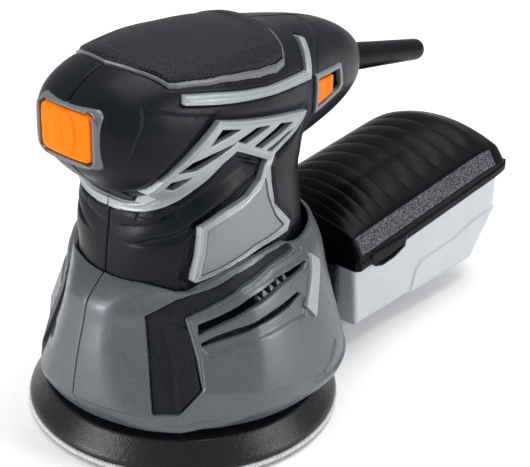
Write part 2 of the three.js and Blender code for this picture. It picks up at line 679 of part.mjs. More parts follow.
// Lid section: an upright lip, a sloping grip band up to the shoulder, then a shallow arch.
function lidForms(offset) {
  const place = (x, y, z) => new THREE.Vector3(x, y, z);
  return loft(lidStations.map((station, i) => {
    const [half, lip, shoulder, crown] = lidForm(station);
    const last = lidStations.length - 1;
    const y = station + (i === 0 ? -offset : 0) + (i === last ? offset : 0);
    const rim = rimAt(station);
    const side = half + offset;
    const low = rim - (offset < 0 ? 5 : 0);
    const reach = half - shoulderInset + offset * 0.6;
    const top = crown - shoulder + offset * 0.4;
    const arch = steps(-1, 1, 12).map((t) => {
      const height = rim + shoulder + offset * 0.6 + top * (1 - t * t);
      return place(t * reach, y, height);
    });
    const lipHeight = rim + lip;
    return [
      place(-side, y, low), place(-side, y, lipHeight), ...arch, place(side, y, lipHeight),
      place(side, y, low),
    ];
  }));
}

function addDustBox() {
  const outer = sideCut(boxOutline, -boxHalf, boxHalf);
  const hollowOutline = inset(boxOutline, boxWall);
  hollowOutline[3][1] += 10;
  hollowOutline[4][1] += 10;
  const hollow = sideCut(hollowOutline, -boxHalf + boxWall, boxHalf - boxWall);
  const inlet = ductBar(ductHalf + 0.4, ductLow - 0.4, ductHigh + 0.4, 60, 80);
  add("dust_container", cut(outer, hollow, inlet), clearPlastic);
  const shell = cut(lidForms(0), lidForms(-2.1));
  const tab = block(32.6, 35.2, 76, 101, 31.5, 45);
  const tabs = [tab, mirrored(tab)];
  const sleeve = sideCut(inset(boxOutline, -0.5), -boxHalf - 0.5, boxHalf + 0.5);
  add("dust_lid", cut(join(shell, ...tabs), sleeve), blackPlastic);
  const above = (y, height) => [y, rimAt(y) + height];
  const pleats = steps(96, 156, 12).map((y, i) => above(y, i % 2 ? 7.5 : 12.5));
  const filterOutline = [
    above(94, 4.5), above(158, 4.5), above(158, 12.5), ...pleats.reverse(), above(94, 12.5),
  ];
  add("dust_filter", sideCut(filterOutline, -24, 24), paperFilter);
}

addSwitches();
addBoot();
addStator();
addRotor();
addEccentric();
addBearings();
addBrushes();
addPad();
addOutlet();
addDustBox();

export default sander;
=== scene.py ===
"""Looks of the orbital sander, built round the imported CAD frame.

Shapes are worked out in millimetres as fields (negative inside), turned into meshes, and scaled to metres.
"""

import json
import math

import bpy
import numpy as np
import openvdb
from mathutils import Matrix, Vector


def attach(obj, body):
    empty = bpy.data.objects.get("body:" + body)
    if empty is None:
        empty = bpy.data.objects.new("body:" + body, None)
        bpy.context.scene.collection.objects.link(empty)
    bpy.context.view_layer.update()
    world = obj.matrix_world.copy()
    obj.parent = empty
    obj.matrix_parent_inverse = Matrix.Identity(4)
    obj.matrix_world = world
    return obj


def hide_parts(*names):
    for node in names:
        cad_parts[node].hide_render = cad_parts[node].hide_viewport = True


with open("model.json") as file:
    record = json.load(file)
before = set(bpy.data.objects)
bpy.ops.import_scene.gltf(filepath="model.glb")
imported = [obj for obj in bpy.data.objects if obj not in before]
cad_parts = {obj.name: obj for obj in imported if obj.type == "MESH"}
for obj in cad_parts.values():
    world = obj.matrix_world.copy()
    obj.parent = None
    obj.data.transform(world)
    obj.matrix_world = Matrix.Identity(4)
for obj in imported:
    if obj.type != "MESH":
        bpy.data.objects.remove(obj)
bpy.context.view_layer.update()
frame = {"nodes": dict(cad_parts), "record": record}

MM = 0.001
COARSE = 1.0  # multiplies every sample spacing


# ---------- sections and outlines, in millimetres ----------
# X runs across, Y from the front (below 0) to the back and Z up. The motor axis is X = 0, Y = 0.
ORBIT = 1.25  # how far in front of the motor axis the pad turns
PAD_RADIUS, HOLE_RADIUS, HOLE_CIRCLE = 62.5, 5, 32.5
PAD_HEIGHTS, HOOK_HEIGHTS, DISC_HEIGHTS = (3.3, 13.5), (1.2, 3.1), (0.02, 1.05)
HOLE_TURNS = [i * math.pi / 4 for i in range(8)]
HOLES = [(HOLE_CIRCLE * math.cos(a), HOLE_CIRCLE * math.sin(a) - ORBIT) for a in HOLE_TURNS]
SKIRT_ROWS = [  # (z, half width, depth to the front, depth to the back)
    (17.3, 60, 59.5, 61.5), (22, 61.5, 61.7, 63), (26, 61.3, 62, 63), (35, 59.2, 60.6, 61),
    (45, 56, 58.4, 59), (57, 51.8, 55, 57.5), (63.3, 49.8, 53.4, 57.1), (64.8, 49.2, 52.4, 57),
    (69, 47, 48.3, 56.5), (73, 43, 43.5, 56), (77, 40, 39, 55),
]
FACET_TURN = math.radians(44)  # from the front, the way the skirt's two flat faces look
FACET_ROWS = [  # (z, the flat faces' distance from the axis)
    (17.3, 60.5), (57, 46.9), (61.5, 46.1), (65, 44.9), (69, 43.8), (71, 43.5), (77, 42),
]
SKIRT_TOP = [  # (y, height of the upper edge)
    (-64, 73.6), (-46, 73.2), (-41, 72.8), (-37, 71.4), (-33.5, 69.9), (-30, 69.9), (-26, 72.2), (-17, 75.2),
    (-5, 77.4), (4, 77.9), (12, 77.6), (17, 75.4), (24, 73.8), (70, 73.4),
]
NECK_ROWS = [  # (z, half width, depth to the front, depth to the back)
    (52, 38, 43, 52.5), (66, 38, 44, 54), (73, 36.5, 43.5, 52.5), (80, 35.5, 42.8, 50), (90, 35, 41.5, 47.5),
    (98.5, 34.5, 40.5, 47), (104, 34, 40, 49), (112, 33, 39, 51), (120, 31, 36, 48),
]
HEAD_ROWS = [  # (y, half width, lowest z, highest z)
    (-61, 5, 126, 142), (-60, 11.5, 123.5, 144), (-58, 16.5, 121, 145.5), (-55, 21, 117, 148),
    (-48, 26.5, 110, 152), (-38, 30.5, 103, 155), (-25, 33, 99, 156.5), (-10, 34, 98, 157),
    (10, 32.5, 97, 156), (28, 29, 97, 153.5), (42, 25.5, 98, 150.5), (56, 22, 99, 147.5),
    (68, 18.5, 100, 144.5), (78, 16, 102, 141), (86, 13.5, 104.5, 137), (93, 10.5, 108, 132),
    (98, 6.5, 113, 126.5),
]
LID_ROWS = [  # (y, half width, then heights above the rim: top of the lip, shoulder, crown)
    (67.6, 33.2, 5, 11, 13), (69.5, 34.6, 6.3, 14, 18), (76, 34.6, 6.3, 14.2, 22), (90, 34.6, 6.3, 14.2, 24),
    (101, 34.6, 6.3, 14.2, 24.6), (134, 34.6, 6.3, 14.2, 23.4), (157, 34.6, 6.3, 14.2, 22),
    (167, 34.6, 5.8, 13.5, 21), (173, 34.4, 5, 12.3, 19), (178, 33.8, 4, 10.9, 16.7), (181, 32, 2.5, 8, 12.5),
]
# Outlines seen from the side: (y, z).
GRILLE = [
    (-46, 98), (-41.5, 98.7), (-40.9, 99.5), (-38.7, 100.8), (-35.1, 103.2), (-31.2, 106.1), (-27, 109.8),
    (-22, 113.2), (-16.3, 118), (-9.9, 120.9), (8, 111.5), (6, 110.1), (2.9, 105.1), (-4.3, 100.9),
    (-15.6, 98.4), (-24.9, 94.3), (-27.9, 73.2), (-27.3, 72.3), (-20.3, 73.9), (-10.2, 76.3), (3.5, 78.1),
    (19.8, 78), (22, 81.5), (10.9, 93), (9.4, 102.3), (9.4, 108.3), (12.8, 112.5), (19.3, 114.1),
    (29.3, 115.7), (35.5, 117.3), (38.6, 120.3), (20.5, 125), (4.6, 128.9), (-8, 132.1), (-18.5, 135),
    (-24.6, 130.8), (-30.1, 127.1), (-37.2, 121.8), (-41.5, 117), (-43.4, 111.1), (-38.3, 107.5),
    (-39.1, 104), (-40.7, 102.5), (-46, 101.7),
]
GRILLE_SLOTS = [
    [(-17.7, 131.6), (-8.2, 129), (-23.6, 126.7)],
    [(0.9, 126.7), (9.9, 124.5), (-5, 122.3), (-10.1, 125)],
    [(16.7, 123), (26.6, 119.9), (4.9, 117.1), (0.2, 119.3)],
    [(21.3, 117.4), (28, 117.2), (20.1, 115.8), (11.2, 113.9), (7.7, 115.2)],
    [(-36.8, 119.7), (-31.2, 122.7), (-23.1, 123.6), (-9.9, 124.6), (-20, 121.4), (-29.3, 119)],
    [(-39.4, 113.7), (-38.2, 116.2), (-30, 116.5), (-35.9, 112.1)],
]
BADGE = [
    (-22.7, 92.6), (-15.1, 95.5), (-4.4, 98.2), (3.5, 101.9), (6.4, 105.4), (7.7, 96.7), (12.1, 87.5),
    (17.4, 81.6), (12.1, 80.5), (-0.8, 79.7), (-13.1, 77.2), (-25.3, 74.4),
]
STRIP = [
    (-32, 143.6), (-18.5, 140.8), (-3.4, 138.1), (10.2, 135.9), (42, 131.6), (47, 145), (43.6, 146.2),
    (38.8, 135.6), (10.2, 138.9), (-2.2, 141.1), (-16.9, 144.1), (-30.1, 146.3),
]
SLIDE_FRAME = [(46.5, 131.5), (70, 128.5), (72, 119), (69.5, 116.5), (46.5, 115.5)]
SLIDE_WINDOW = [(48.5, 129.3), (68.3, 126.8), (69.6, 119.4), (68, 118.4), (48.5, 117.6)]
SLIDE_BUTTON = [(49, 128.3), (62, 126.6), (62, 118.9), (49, 118.3)]
# Marks round the skirt: (degrees from the front, height).
POCKET = [
    (25, 61.2), (39, 67), (52, 70.2), (68, 73.8), (92, 76.4), (108, 76.5), (112, 75.9), (111, 73.3),
    (91, 72.9), (70, 70), (55, 64.1), (43, 60), (48, 44.9), (50, 33.5), (41, 25.1), (31, 25.1),
]
POCKET_FACE = [(33.5, 57.6), (45.6, 55.6), (47.2, 44.9), (49, 34.3), (40.8, 26), (38.2, 45)]
UPPER_SLOT = [
    (49, 57.7), (58, 60.9), (72, 66.5), (91, 69.4), (113, 69.3), (113, 68.2), (110, 67.2), (91, 66),
    (72, 62.5), (62, 58.5), (49, 53.6),
]
LOWER_SLOT = [
    (50, 50.7), (57, 53.6), (66, 56.4), (81, 59.2), (100, 61.4), (102, 59.4), (94, 57.3), (75, 55.6),
    (63, 52.4), (50.4, 49.2),
]
LEDGE = [
    (49.8, 48.6), (53, 46.2), (61, 47.9), (74, 51.3), (92, 52.3), (101, 51.4), (105, 56), (102, 60.4),
    (94, 58.8), (75, 57), (63, 53.8), (50.2, 50),
]
DUCT_BAR = [(117, 70.7), (121, 66.8), (106, 48.9), (102, 54.9)]
VENT_EDGE = [
    (42.5, 27.5), (50.5, 34.5), (49.6, 45), (44.8, 59.4), (55.6, 62.9), (70.5, 68.9), (91, 72), (116, 72.2),
]
REAR_LINE = [(126, 82), (118, 66), (112, 57.3), (103, 43.7), (96, 24.7), (95, 12), (185, 12), (185, 82)]
RIDGE = [
    (0, 26.8), (16, 26.8), (30, 24.9), (42, 24.6), (50.5, 32.9), (63, 32.8), (81, 31), (97, 27.9), (114, 22),
    (180, 21),
]
WEDGE = [(104, 26.2), (112, 30.6), (119, 33.4), (119, 30.8), (113, 27.8), (106, 25.6)]
TRIM = [  # half of the top trim's outline seen from above: (x, y)
    (0, -41.2), (7, -40.2), (13.1, -38.6), (23.2, -33.4), (24.6, -30), (27.6, -17.2), (28.8, -5), (28.7, 9),
    (27.5, 19.5), (25.5, 26.3), (21.5, 29.8), (14, 31.6), (0, 32),
]
CASING_SCREWS = [  # (y, z, how far the post reaches from the middle)
    (-27, 130, 30), (25, 131, 26), (75, 121, 15), (37, 88, 24),
]
SKIRT_SCREWS = [(-49, 40, 24), (52.5, 48.2, 20)]
SCREW_BORE, SCREW_WELL, SCREW_POST = 1.9, 3.3, 3.6  # radii
CASING_WALL, SKIRT_WALL = 2.6, 2.5
SEAM = 0.12  # each half stops this far from the middle plane
PLUG_HOLE = (-20.4, 20.4, 60, 80, 18.6, 35.4)  # what the outlet tube fills, and its play
BOOT_START, BOOT_END = (0, 88, 120.4), (0, 149, 108.44)


# ---------- fields ----------
def curve(rows):
    """A smooth curve through rows (position, value, ...), monotone between rows."""
    table = np.array(rows, float)
    place, value = table[:, 0], table[:, 1:]
    span = np.diff(place)
    slope = np.diff(value, axis=0) / span[:, None]
    tangent = np.zeros_like(value)
    tangent[0], tangent[-1] = slope[0], slope[-1]
    for i in range(1, len(place) - 1):
        before, after = slope[i - 1], slope[i]
        heavy, light = 2 * span[i] + span[i - 1], span[i] + 2 * span[i - 1]
        with np.errstate(all="ignore"):
            mean = (heavy + light) / (heavy / before + light / after)
        tangent[i] = np.where(before * after > 0, mean, 0)

    def at(x):
        x = np.clip(np.asarray(x, float), place[0], place[-1])
        i = np.clip(np.searchsorted(place, x) - 1, 0, len(place) - 2)
        t = ((x - place[i]) / span[i])[..., None]
        step = span[i][..., None]
        made = (2 * t**3 - 3 * t**2 + 1) * value[i] + (t**3 - 2 * t**2 + t) * step * tangent[i]
        made = made + (3 * t**2 - 2 * t**3) * value[i + 1] + (t**3 - t**2) * step * tangent[i + 1]
        return [made[..., k] for k in range(value.shape[1])]

    return at


skirt_form, neck_form, head_form = curve(SKIRT_ROWS), curve(NECK_ROWS), curve(HEAD_ROWS)
lid_form, facet_form = curve(LID_ROWS), curve(FACET_ROWS)


class Grid:
    """Sample points of a box, low to high, in millimetres."""

    def __init__(self, low, high, step):
        self.step = step * COARSE
        count = [int(math.ceil((h - l) / self.step)) + 1 for l, h in zip(low, high)]
        self.low = np.array(low, float)
        axes = [(l + self.step * np.arange(n)).astype(np.float32) for l, n in zip(low, count)]
        self.x, self.y, self.z = axes[0][:, None, None], axes[1][None, :, None], axes[2][None, None, :]


def smooth_max(a, b, reach):
    """The larger of two fields, blended where they differ by less than reach."""
    h = np.clip(0.5 + 0.5 * (a - b) / reach, 0, 1)
    return b + (a - b) * h + reach * h * (1 - h)


def smooth_min(a, b, reach):
    return -smooth_max(-a, -b, reach)


def ramp(value, start, end):
    """0 at start, 1 at end, eased."""
    t = np.clip((value - start) / (end - start), 0, 1)
    return t * t * (3 - 2 * t)


def between(value, low, high):
    """Below 0 where the value lies between low and high."""
    return np.maximum(low - value, value - high)


def line(points, u, v):
    """Distance to an open line, for arrays u and v that broadcast."""
    u, v = np.broadcast_arrays(u, v)
    nearest = np.full(u.shape, 1e9, np.float32)
    for (a0, b0), (a1, b1) in zip(points, points[1:]):
        da, db = a1 - a0, b1 - b0
        t = np.clip(((u - a0) * da + (v - b0) * db) / (da * da + db * db), 0, 1)
        nearest = np.minimum(nearest, np.hypot(u - a0 - t * da, v - b0 - t * db))
    return nearest


def outline(points, u, v):
    """Signed distance to a closed outline."""
    closed = [*points, points[0]]
    nearest = line(closed, u, v)
    inside = np.zeros(nearest.shape, bool)
    for (a0, b0), (a1, b1) in zip(closed, closed[1:]):
        if b0 != b1:
            crosses = (b0 > v) != (b1 > v)
            inside ^= crosses & (u < a0 + (v - b0) * (a1 - a0) / (b1 - b0))
    return np.where(inside, -nearest, nearest)


def box(g, x0, x1, y0, y1, z0, z1, rounding):
    """Distance to a box with rounded edges."""
    half = ((x1 - x0) / 2, (y1 - y0) / 2, (z1 - z0) / 2)
    q = [
        np.abs(axis - (a + b) / 2) - h + rounding
        for axis, a, b, h in zip((g.x, g.y, g.z), (x0, y0, z0), (x1, y1, z1), half)
    ]
    outer = np.sqrt(sum(np.maximum(p, 0) ** 2 for p in q))
    return outer + np.minimum(np.maximum(np.maximum(q[0], q[1]), q[2]), 0) - rounding


def oval(u_power, v_power, distance, power):
    """Radial distance to an oval whose powers are already scaled by its half axes."""
    return distance - distance / (u_power + v_power + 1e-12) ** (1 / power)


def evened(field, step):
    """The field divided by its slope, so that it measures distance near its surface."""
    slope = np.sqrt(sum(part * part for part in np.gradient(field, step)))
    return field / np.clip(slope, 0.6, 6)


def neck(g):
    """Distance to the black neck, rounder where the skirt holds it."""
    half, front, rear = neck_form(g.z)
    power = 2.15 + 0.35 * ramp(g.z, 72, 85)
    distance = np.sqrt(g.x**2 + g.y**2 + 1e-4)
    depth = np.where(g.y < 0, front, rear)
    return oval(np.abs(g.x / half) ** power, np.abs(g.y / depth) ** power, distance, power).astype(np.float32)


def casing(g):
    """Distance to the black body, head and neck in one."""
    half, low, high = head_form(g.y)
    middle, tall = (low + high) / 2, (high - low) / 2
    distance = np.sqrt(g.x**2 + (g.z - middle) ** 2 + 1e-4)
    power = 2.4
    u, v = np.abs(g.x / half) ** power, np.abs((g.z - middle) / tall) ** power
    head = oval(u, v, distance, power).astype(np.float32)
    nose, tail, neck_top = -61, 98, 121
    head = np.maximum(head, between(g.y, nose, tail))
    below = np.maximum(neck(g), g.z - neck_top)
    return smooth_min(evened(below, g.step), evened(head, g.step), 2.5).astype(np.float32)


ARC = 0.9  # millimetres of skirt in one degree, near enough for drawing on it


def around(g, points, measure=outline):
    """A measure of marks given as (degrees from the front, height), at every sample."""
    turns = np.arange(0, 181, 0.5)
    table = measure([(a * ARC, z) for a, z in points], (turns * ARC)[:, None], g.z[0])
    place = 2 * np.degrees(np.arctan2(np.abs(g.x), -g.y))[:, :, 0]
    base = np.minimum(place.astype(int), len(turns) - 2)
    part = (place - base)[:, :, None]
    return (table[base] * (1 - part) + table[base + 1] * part).astype(np.float32)


def skirt(g):
    """Distance to the grey skirt's outside."""
    half, front, rear = skirt_form(g.z)
    distance = np.sqrt(g.x**2 + g.y**2 + 1e-4)
    near = oval(np.abs(g.x / half) ** 2, np.abs(g.y / front) ** 2, distance, 2)
    behind = oval(np.abs(g.x / half) ** 2.3, np.abs(g.y / rear) ** 2.3, distance, 2.3)
    body = np.where(g.y < 0, near, behind)
    facing = np.abs(g.x) * math.sin(FACET_TURN) - g.y * math.cos(FACET_TURN)
    face = facing - facet_form(g.z)[0]
    return evened(smooth_max(body, face, 2.5).astype(np.float32), g.step)


# ---------- meshes ----------
def sampled(field, place):
    """The field between samples, at places given in samples."""
    base = np.clip(np.floor(place).astype(int), 0, np.array(field.shape) - 2)
    part = (place - base).astype(np.float32)
    total = np.zeros(len(place), np.float32)
    for corner in range(8):
        pick = [(corner >> k) & 1 for k in range(3)]
        weight = np.ones(len(place), np.float32)
        for k in range(3):
            weight *= part[:, k] if pick[k] else 1 - part[:, k]
        total += weight * field[base[:, 0] + pick[0], base[:, 1] + pick[1], base[:, 2] + pick[2]]
    return total


def mesh_object(name, points, faces, normals=None):
    """A smooth-shaded object from points in metres."""
    mesh = bpy.data.meshes.new(name)
    mesh.from_pydata(points.tolist(), [], faces)
    mesh.polygons.foreach_set("use_smooth", np.ones(len(mesh.polygons), bool))
    mesh.update()
    if normals is not None:
        mesh.normals_split_custom_set_from_vertices(normals.tolist())
    made = bpy.data.objects.new(name, mesh)
    bpy.context.scene.collection.objects.link(made)
    return made


def piece(name, g, field, body, nodes, material, mirror=False, merge=0.0):
    """The surface of a field as an object that rides on a body and stands for CAD nodes."""
    far, reach, longest = 3.0, 0.6, 0.35  # farthest distance kept; samples for a slope; longest move
    field = np.clip(field, -far, far).astype(np.float32)
    volume = openvdb.FloatGrid(background=far)
    volume.copyFromArray(np.ascontiguousarray(field))
    places, triangles, quads = volume.convertToPolygons(isovalue=0.0, adaptivity=merge)

    def slope_at(where):
        parts = []
        for k in range(3):
            shift = np.zeros(3, np.float32)
            shift[k] = reach
            parts.append(sampled(field, where + shift) - sampled(field, where - shift))
        return np.stack(parts, 1) / (2 * reach)

    slope = slope_at(places)
    size = np.maximum((slope * slope).sum(1), 0.04)
    move = -(sampled(field, places) / size)[:, None] * slope
    long = np.linalg.norm(move, axis=1, keepdims=True)
    places = places + move * np.minimum(1, longest / np.maximum(long, 1e-6))
    normals = slope_at(places)
    normals /= np.maximum(np.linalg.norm(normals, axis=1, keepdims=True), 1e-6)
    points = (g.low + places * g.step) * MM
    faces = [list(map(int, f)) for f in triangles] + [list(map(int, f)) for f in quads]
    first = np.array([f[:3] for f in faces[:2000]])  # enough to tell which way the faces turn
    across = np.cross(points[first[:, 1]] - points[first[:, 0]], points[first[:, 2]] - points[first[:, 0]])
    outward = float((across * normals[first[:, 0]]).sum())
    if mirror:
        points[:, 0] *= -1
        normals[:, 0] *= -1
        outward = -outward
    if outward < 0:
        faces = [f[::-1] for f in faces]
    made = mesh_object(name, points, faces, normals)
    made.data.materials.append(material)
    return finished(made, body, nodes)


def pairs(*rows):
    """Pieces on the left, then their mirror images on the right; {} in a node's name stands for the side."""
    for side, mirror in (("left", False), ("right", True)):
        for name, g, field, body, slot, node, material, merge in rows:
            piece(f"{name}_{side}", g, field, body, [node.format(side)], material, mirror, merge)


def finished(made, body, nodes):
    """The object, riding on its body in place of its CAD nodes."""
    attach(made, body)
    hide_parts(*nodes)
    return made


# ---------- materials ----------
def nodes_of(name, color, roughness, metallic=0.0, **sockets):
    """A new material, its node tree, its shader and the place on the object that its textures read."""
    material = bpy.data.materials.new(name)
    material.use_nodes = True
    tree = material.node_tree
    shader = tree.nodes["Principled BSDF"]
    shader.inputs["Base Color"].default_value = (*color, 1)
    shader.inputs["Roughness"].default_value = roughness
    shader.inputs["Metallic"].default_value = metallic
    for key, value in sockets.items():
        shader.inputs[key.replace("_", " ")].default_value = value
    place = tree.nodes.new("ShaderNodeTexCoord").outputs["Object"]
    return material, tree, shader, place


def noise(tree, place, scale, detail=2.0, rough=0.5):
    """A soft random value, scale spots to the metre."""
    made = tree.nodes.new("ShaderNodeTexNoise")
    made.inputs["Scale"].default_value = scale
    made.inputs["Detail"].default_value = detail
    made.inputs["Roughness"].default_value = rough
    tree.links.new(place, made.inputs["Vector"])
    return made.outputs["Fac"]


def cells(tree, place, scale):
    """Distance to the middle of the nearest of many small cells."""
    made = tree.nodes.new("ShaderNodeTexVoronoi")
    made.inputs["Scale"].default_value = scale
    tree.links.new(place, made.inputs["Vector"])
    return made.outputs["Distance"]


def mapped(tree, value, low, high):
    """The middle part of a 0 to 1 value, stretched to low and high."""
    made = tree.nodes.new("ShaderNodeMapRange")
    for key, number in (("From Min", 0.3), ("From Max", 0.7), ("To Min", low), ("To Max", high)):
        made.inputs[key].default_value = number
    tree.links.new(value, made.inputs["Value"])
    return made.outputs["Result"]


def blend_colors(tree, value, stops):
    """A colour for each value, from stops of (value, colour)."""
    made = tree.nodes.new("ShaderNodeValToRGB")
    band = made.color_ramp
    while len(band.elements) < len(stops):
        band.elements.new(0.5)
    for element, (at, color) in zip(band.elements, stops):
        element.position = at
        element.color = (*color, 1)
    tree.links.new(value, made.inputs["Fac"])
    return made.outputs["Color"]


def bump(tree, shader, value, strength, distance):
    """Relief from a value, distance metres deep."""
    made = tree.nodes.new("ShaderNodeBump")
    made.inputs["Strength"].default_value = strength
    made.inputs["Distance"].default_value = distance
    tree.links.new(value, made.inputs["Height"])
    tree.links.new(made.outputs["Normal"], shader.inputs["Normal"])


def scaled(color, by):
    return tuple(min(1.0, c * by) for c in color)


def moulded(name, color, roughness, grain=900.0, depth=0.00006, spread=0.25, strength=0.35, **sockets):
    """Moulded or painted plastic: fine grain, uneven gloss and a slight drift of colour."""
    material, tree, shader, place = nodes_of(name, color, roughness, **sockets)
    drift = noise(tree, place, 35, 3)
    stops = [(0.3, scaled(color, 1 - spread)), (0.7, scaled(color, 1 + spread))]
    tree.links.new(blend_colors(tree, drift, stops), shader.inputs["Base Color"])
    fine = noise(tree, place, grain, 2)
    gloss = mapped(tree, noise(tree, place, 180, 4), roughness - 0.05, roughness + 0.07)
    tree.links.new(gloss, shader.inputs["Roughness"])
    bump(tree, shader, fine, strength, depth)
    return material


def flaked(name, color, roughness, metallic, sparkle, grain=1500.0):
    """Metallic paint: bright and dark flakes over a satin coat."""
    material, tree, shader, place = nodes_of(name, color, roughness, metallic)
    fine = noise(tree, place, grain, 2, 0.7)
    stops = [(0.32, scaled(color, 1 - sparkle)), (0.5, color), (0.68, scaled(color, 1 + 1.6 * sparkle))]
    tree.links.new(blend_colors(tree, fine, stops), shader.inputs["Base Color"])
    gloss = mapped(tree, noise(tree, place, 260, 3), roughness - 0.06, roughness + 0.08)
    tree.links.new(gloss, shader.inputs["Roughness"])
    bump(tree, shader, fine, 0.3, 0.00005)
    return material


def stippled(name, color, light, roughness, grain, depth, **sockets):
    """Pebbled plastic: a bumped cell pattern, with lighter speckles painted into its colour as highlights on
    the grains.
    """
    material, tree, shader, place = nodes_of(name, color, roughness, **sockets)
    pebble = cells(tree, place, grain)
    fine = noise(tree, place, grain * 1.7, 2)
    # Painted highlights: noise lays the lighter second colour on as glints on the grains.
    stops = [(0.42, color), (0.62, light)]
    tree.links.new(blend_colors(tree, fine, stops), shader.inputs["Base Color"])
    bump(tree, shader, pebble, 0.9, depth)
    return material


def woven(name, color, roughness, grain=1400.0):
    """Matt fibres or grit. The colour is darker where the fuzz is low, which is where the bump sinks: painted
    shade between the grains.
    """
    material, tree, shader, place = nodes_of(name, color, roughness, Sheen_Weight=0.5)
    fuzz = noise(tree, place, grain, 4, 0.75)
    # Painted shade: the sunken parts of the fuzz get the darker colour.
    stops = [(0.3, scaled(color, 0.45)), (0.65, scaled(color, 1.15))]
    tree.links.new(blend_colors(tree, fuzz, stops), shader.inputs["Base Color"])
    bump(tree, shader, fuzz, 1.0, 0.0004)
    return material


def brushed(name, color, roughness, grain=300.0):
    """Bare metal with fine streaks."""
    material, tree, shader, place = nodes_of(name, color, roughness, 1.0)
    stretch = tree.nodes.new("ShaderNodeMapping")
    stretch.inputs["Scale"].default_value = (1, 1, 8)
    tree.links.new(place, stretch.inputs["Vector"])
    streak = noise(tree, stretch.outputs["Vector"], grain, 3)
    tree.links.new(mapped(tree, streak, roughness - 0.08, roughness + 0.1), shader.inputs["Roughness"])
    stops = [(0.3, scaled(color, 0.8)), (0.7, scaled(color, 1.15))]
    tree.links.new(blend_colors(tree, streak, stops), shader.inputs["Base Color"])
    bump(tree, shader, streak, 0.2, 0.00003)
    return material


def frosted(name, color, roughness):
    """Milky plastic that lets a little light through."""
    material, tree, shader, place = nodes_of(name, color, roughness, Transmission_Weight=0.22, IOR=1.3)
    cloud = noise(tree, place, 60, 3)
    stops = [(0.3, scaled(color, 0.95)), (0.7, scaled(color, 1.04))]
    tree.links.new(blend_colors(tree, cloud, stops), shader.inputs["Base Color"])
    bump(tree, shader, noise(tree, place, 700, 2), 0.15, 0.00004)
    return material


black = moulded(
    "black_plastic", (0.0042, 0.0055, 0.0078), 0.34, grain=1500, depth=0.00004, strength=0.3, IOR=1.23
)
dark = moulded("dark_plastic", (0.004, 0.005, 0.007), 0.42, IOR=1.3)
# The second colour of each stippled material is painted grain highlights.
insert_black = stippled(
    "insert_black", (0.003, 0.0038, 0.0052), (0.016, 0.018, 0.021), 0.42, 1800, 0.00006, IOR=1.25
)
grip_black = stippled(
    "soft_black", (0.0015, 0.002, 0.0028), (0.026, 0.028, 0.033), 0.42, 1500, 0.0002, IOR=1.2
)
boot_black = moulded("boot_black", (0.002, 0.0026, 0.0038), 0.33, IOR=1.2)
grey = flaked("grey_paint", (0.084, 0.093, 0.105), 0.36, 0.4, 0.22, 2600)
silver = flaked("silver_paint", (0.27, 0.283, 0.302), 0.36, 0.25, 0.1, 2600)
trim_grey = flaked("trim_grey", (0.105, 0.11, 0.12), 0.34, 0.2, 0.1, 2600)
badge_grey = flaked("badge_paint", (0.175, 0.184, 0.198), 0.42, 0.25, 0.1, 2600)
orange = moulded("orange_plastic", (0.88, 0.15, 0.0003), 0.36, spread=0.05, strength=0.15, IOR=1.15)
lid_black = moulded("lid_black", (0.0015, 0.002, 0.003), 0.33, grain=1100, IOR=1.17)
lid_stipple = stippled(
    "lid_stipple", (0.004, 0.005, 0.006), (0.13, 0.135, 0.148), 0.5, 1000, 0.0002, IOR=1.25
)
rubber = stippled(
    "pad_rubber", (0.003, 0.0035, 0.0045), (0.012, 0.014, 0.016), 0.3, 2400, 0.00005, IOR=1.34
)
# The hook fabric and the abrasive paper carry painted shade between their grains.
velour = woven("hook_fabric", (0.62, 0.63, 0.65), 0.95)
abrasive = woven("abrasive_paper", (0.30, 0.29, 0.28), 0.9, 2600)
clear = frosted("clear_plastic", (0.56, 0.58, 0.61), 0.36)
steel = brushed("steel", (0.5, 0.52, 0.54), 0.3)
laminations = brushed("laminations", (0.22, 0.22, 0.23), 0.45)
copper = brushed("copper", (0.6, 0.27, 0.13), 0.35)
carbon = moulded("carbon", (0.03, 0.03, 0.033), 0.6)
cast = moulded("cast_metal", (0.4, 0.42, 0.44), 0.45, grain=500, Metallic=0.9)
board = moulded("circuit_board", (0.03, 0.15, 0.06), 0.4)
paper = woven("filter_paper", (0.75, 0.71, 0.6), 0.95)
foam = stippled("foam", (0.012, 0.012, 0.013), (0.03, 0.03, 0.032), 0.9, 900, 0.0004)


# ---------- casing halves ----------
CHEEK = [
    (-46, 145), (-48, 140), (-51, 134), (-53, 127), (-50, 120), (-41, 119), (-31, 124), (-20, 131.5),
    (-18, 137), (-34, 141),
]
SWOOSH = [
    (-60, 88), (-41, 88), (-38, 91), (-33, 93), (-28, 96), (-22, 100), (-12, 104), (-3, 107.5), (7, 109),
]
BROW = [  # the hollow under the chin band, which runs back under the peak, down to the swoosh
    (-60, 93), (-41, 93), (-40, 94), (-36, 97), (-31, 102), (-23, 108), (-15, 113), (-8, 118), (4, 112),
    *reversed(SWOOSH),
]
UNDERCUT = [  # the hollow below the swoosh
    *SWOOSH, (4, 106), (-7, 102), (-16, 98), (-24, 94), (-30, 90), (-35, 88), (-41, 86), (-60, 86),
]
NECK_PANEL = [(-29.5, 89), (-31, 80), (-32, 66), (-20, 66), (-20, 93)]
CAP_LINE = [(40, 100), (42, 110), (46, 118), (49, 134), (53, 140), (58, 144), (66, 152)]


def groove(distance, depth, width):
    """How deep a fine groove is at a distance from its middle."""
    return depth * np.exp(-((distance / width) ** 2))


def whole(half):
    """A full outline from its half with x above 0."""
    return list(half) + [(-a, b) for a, b in reversed(half[1:-1])]


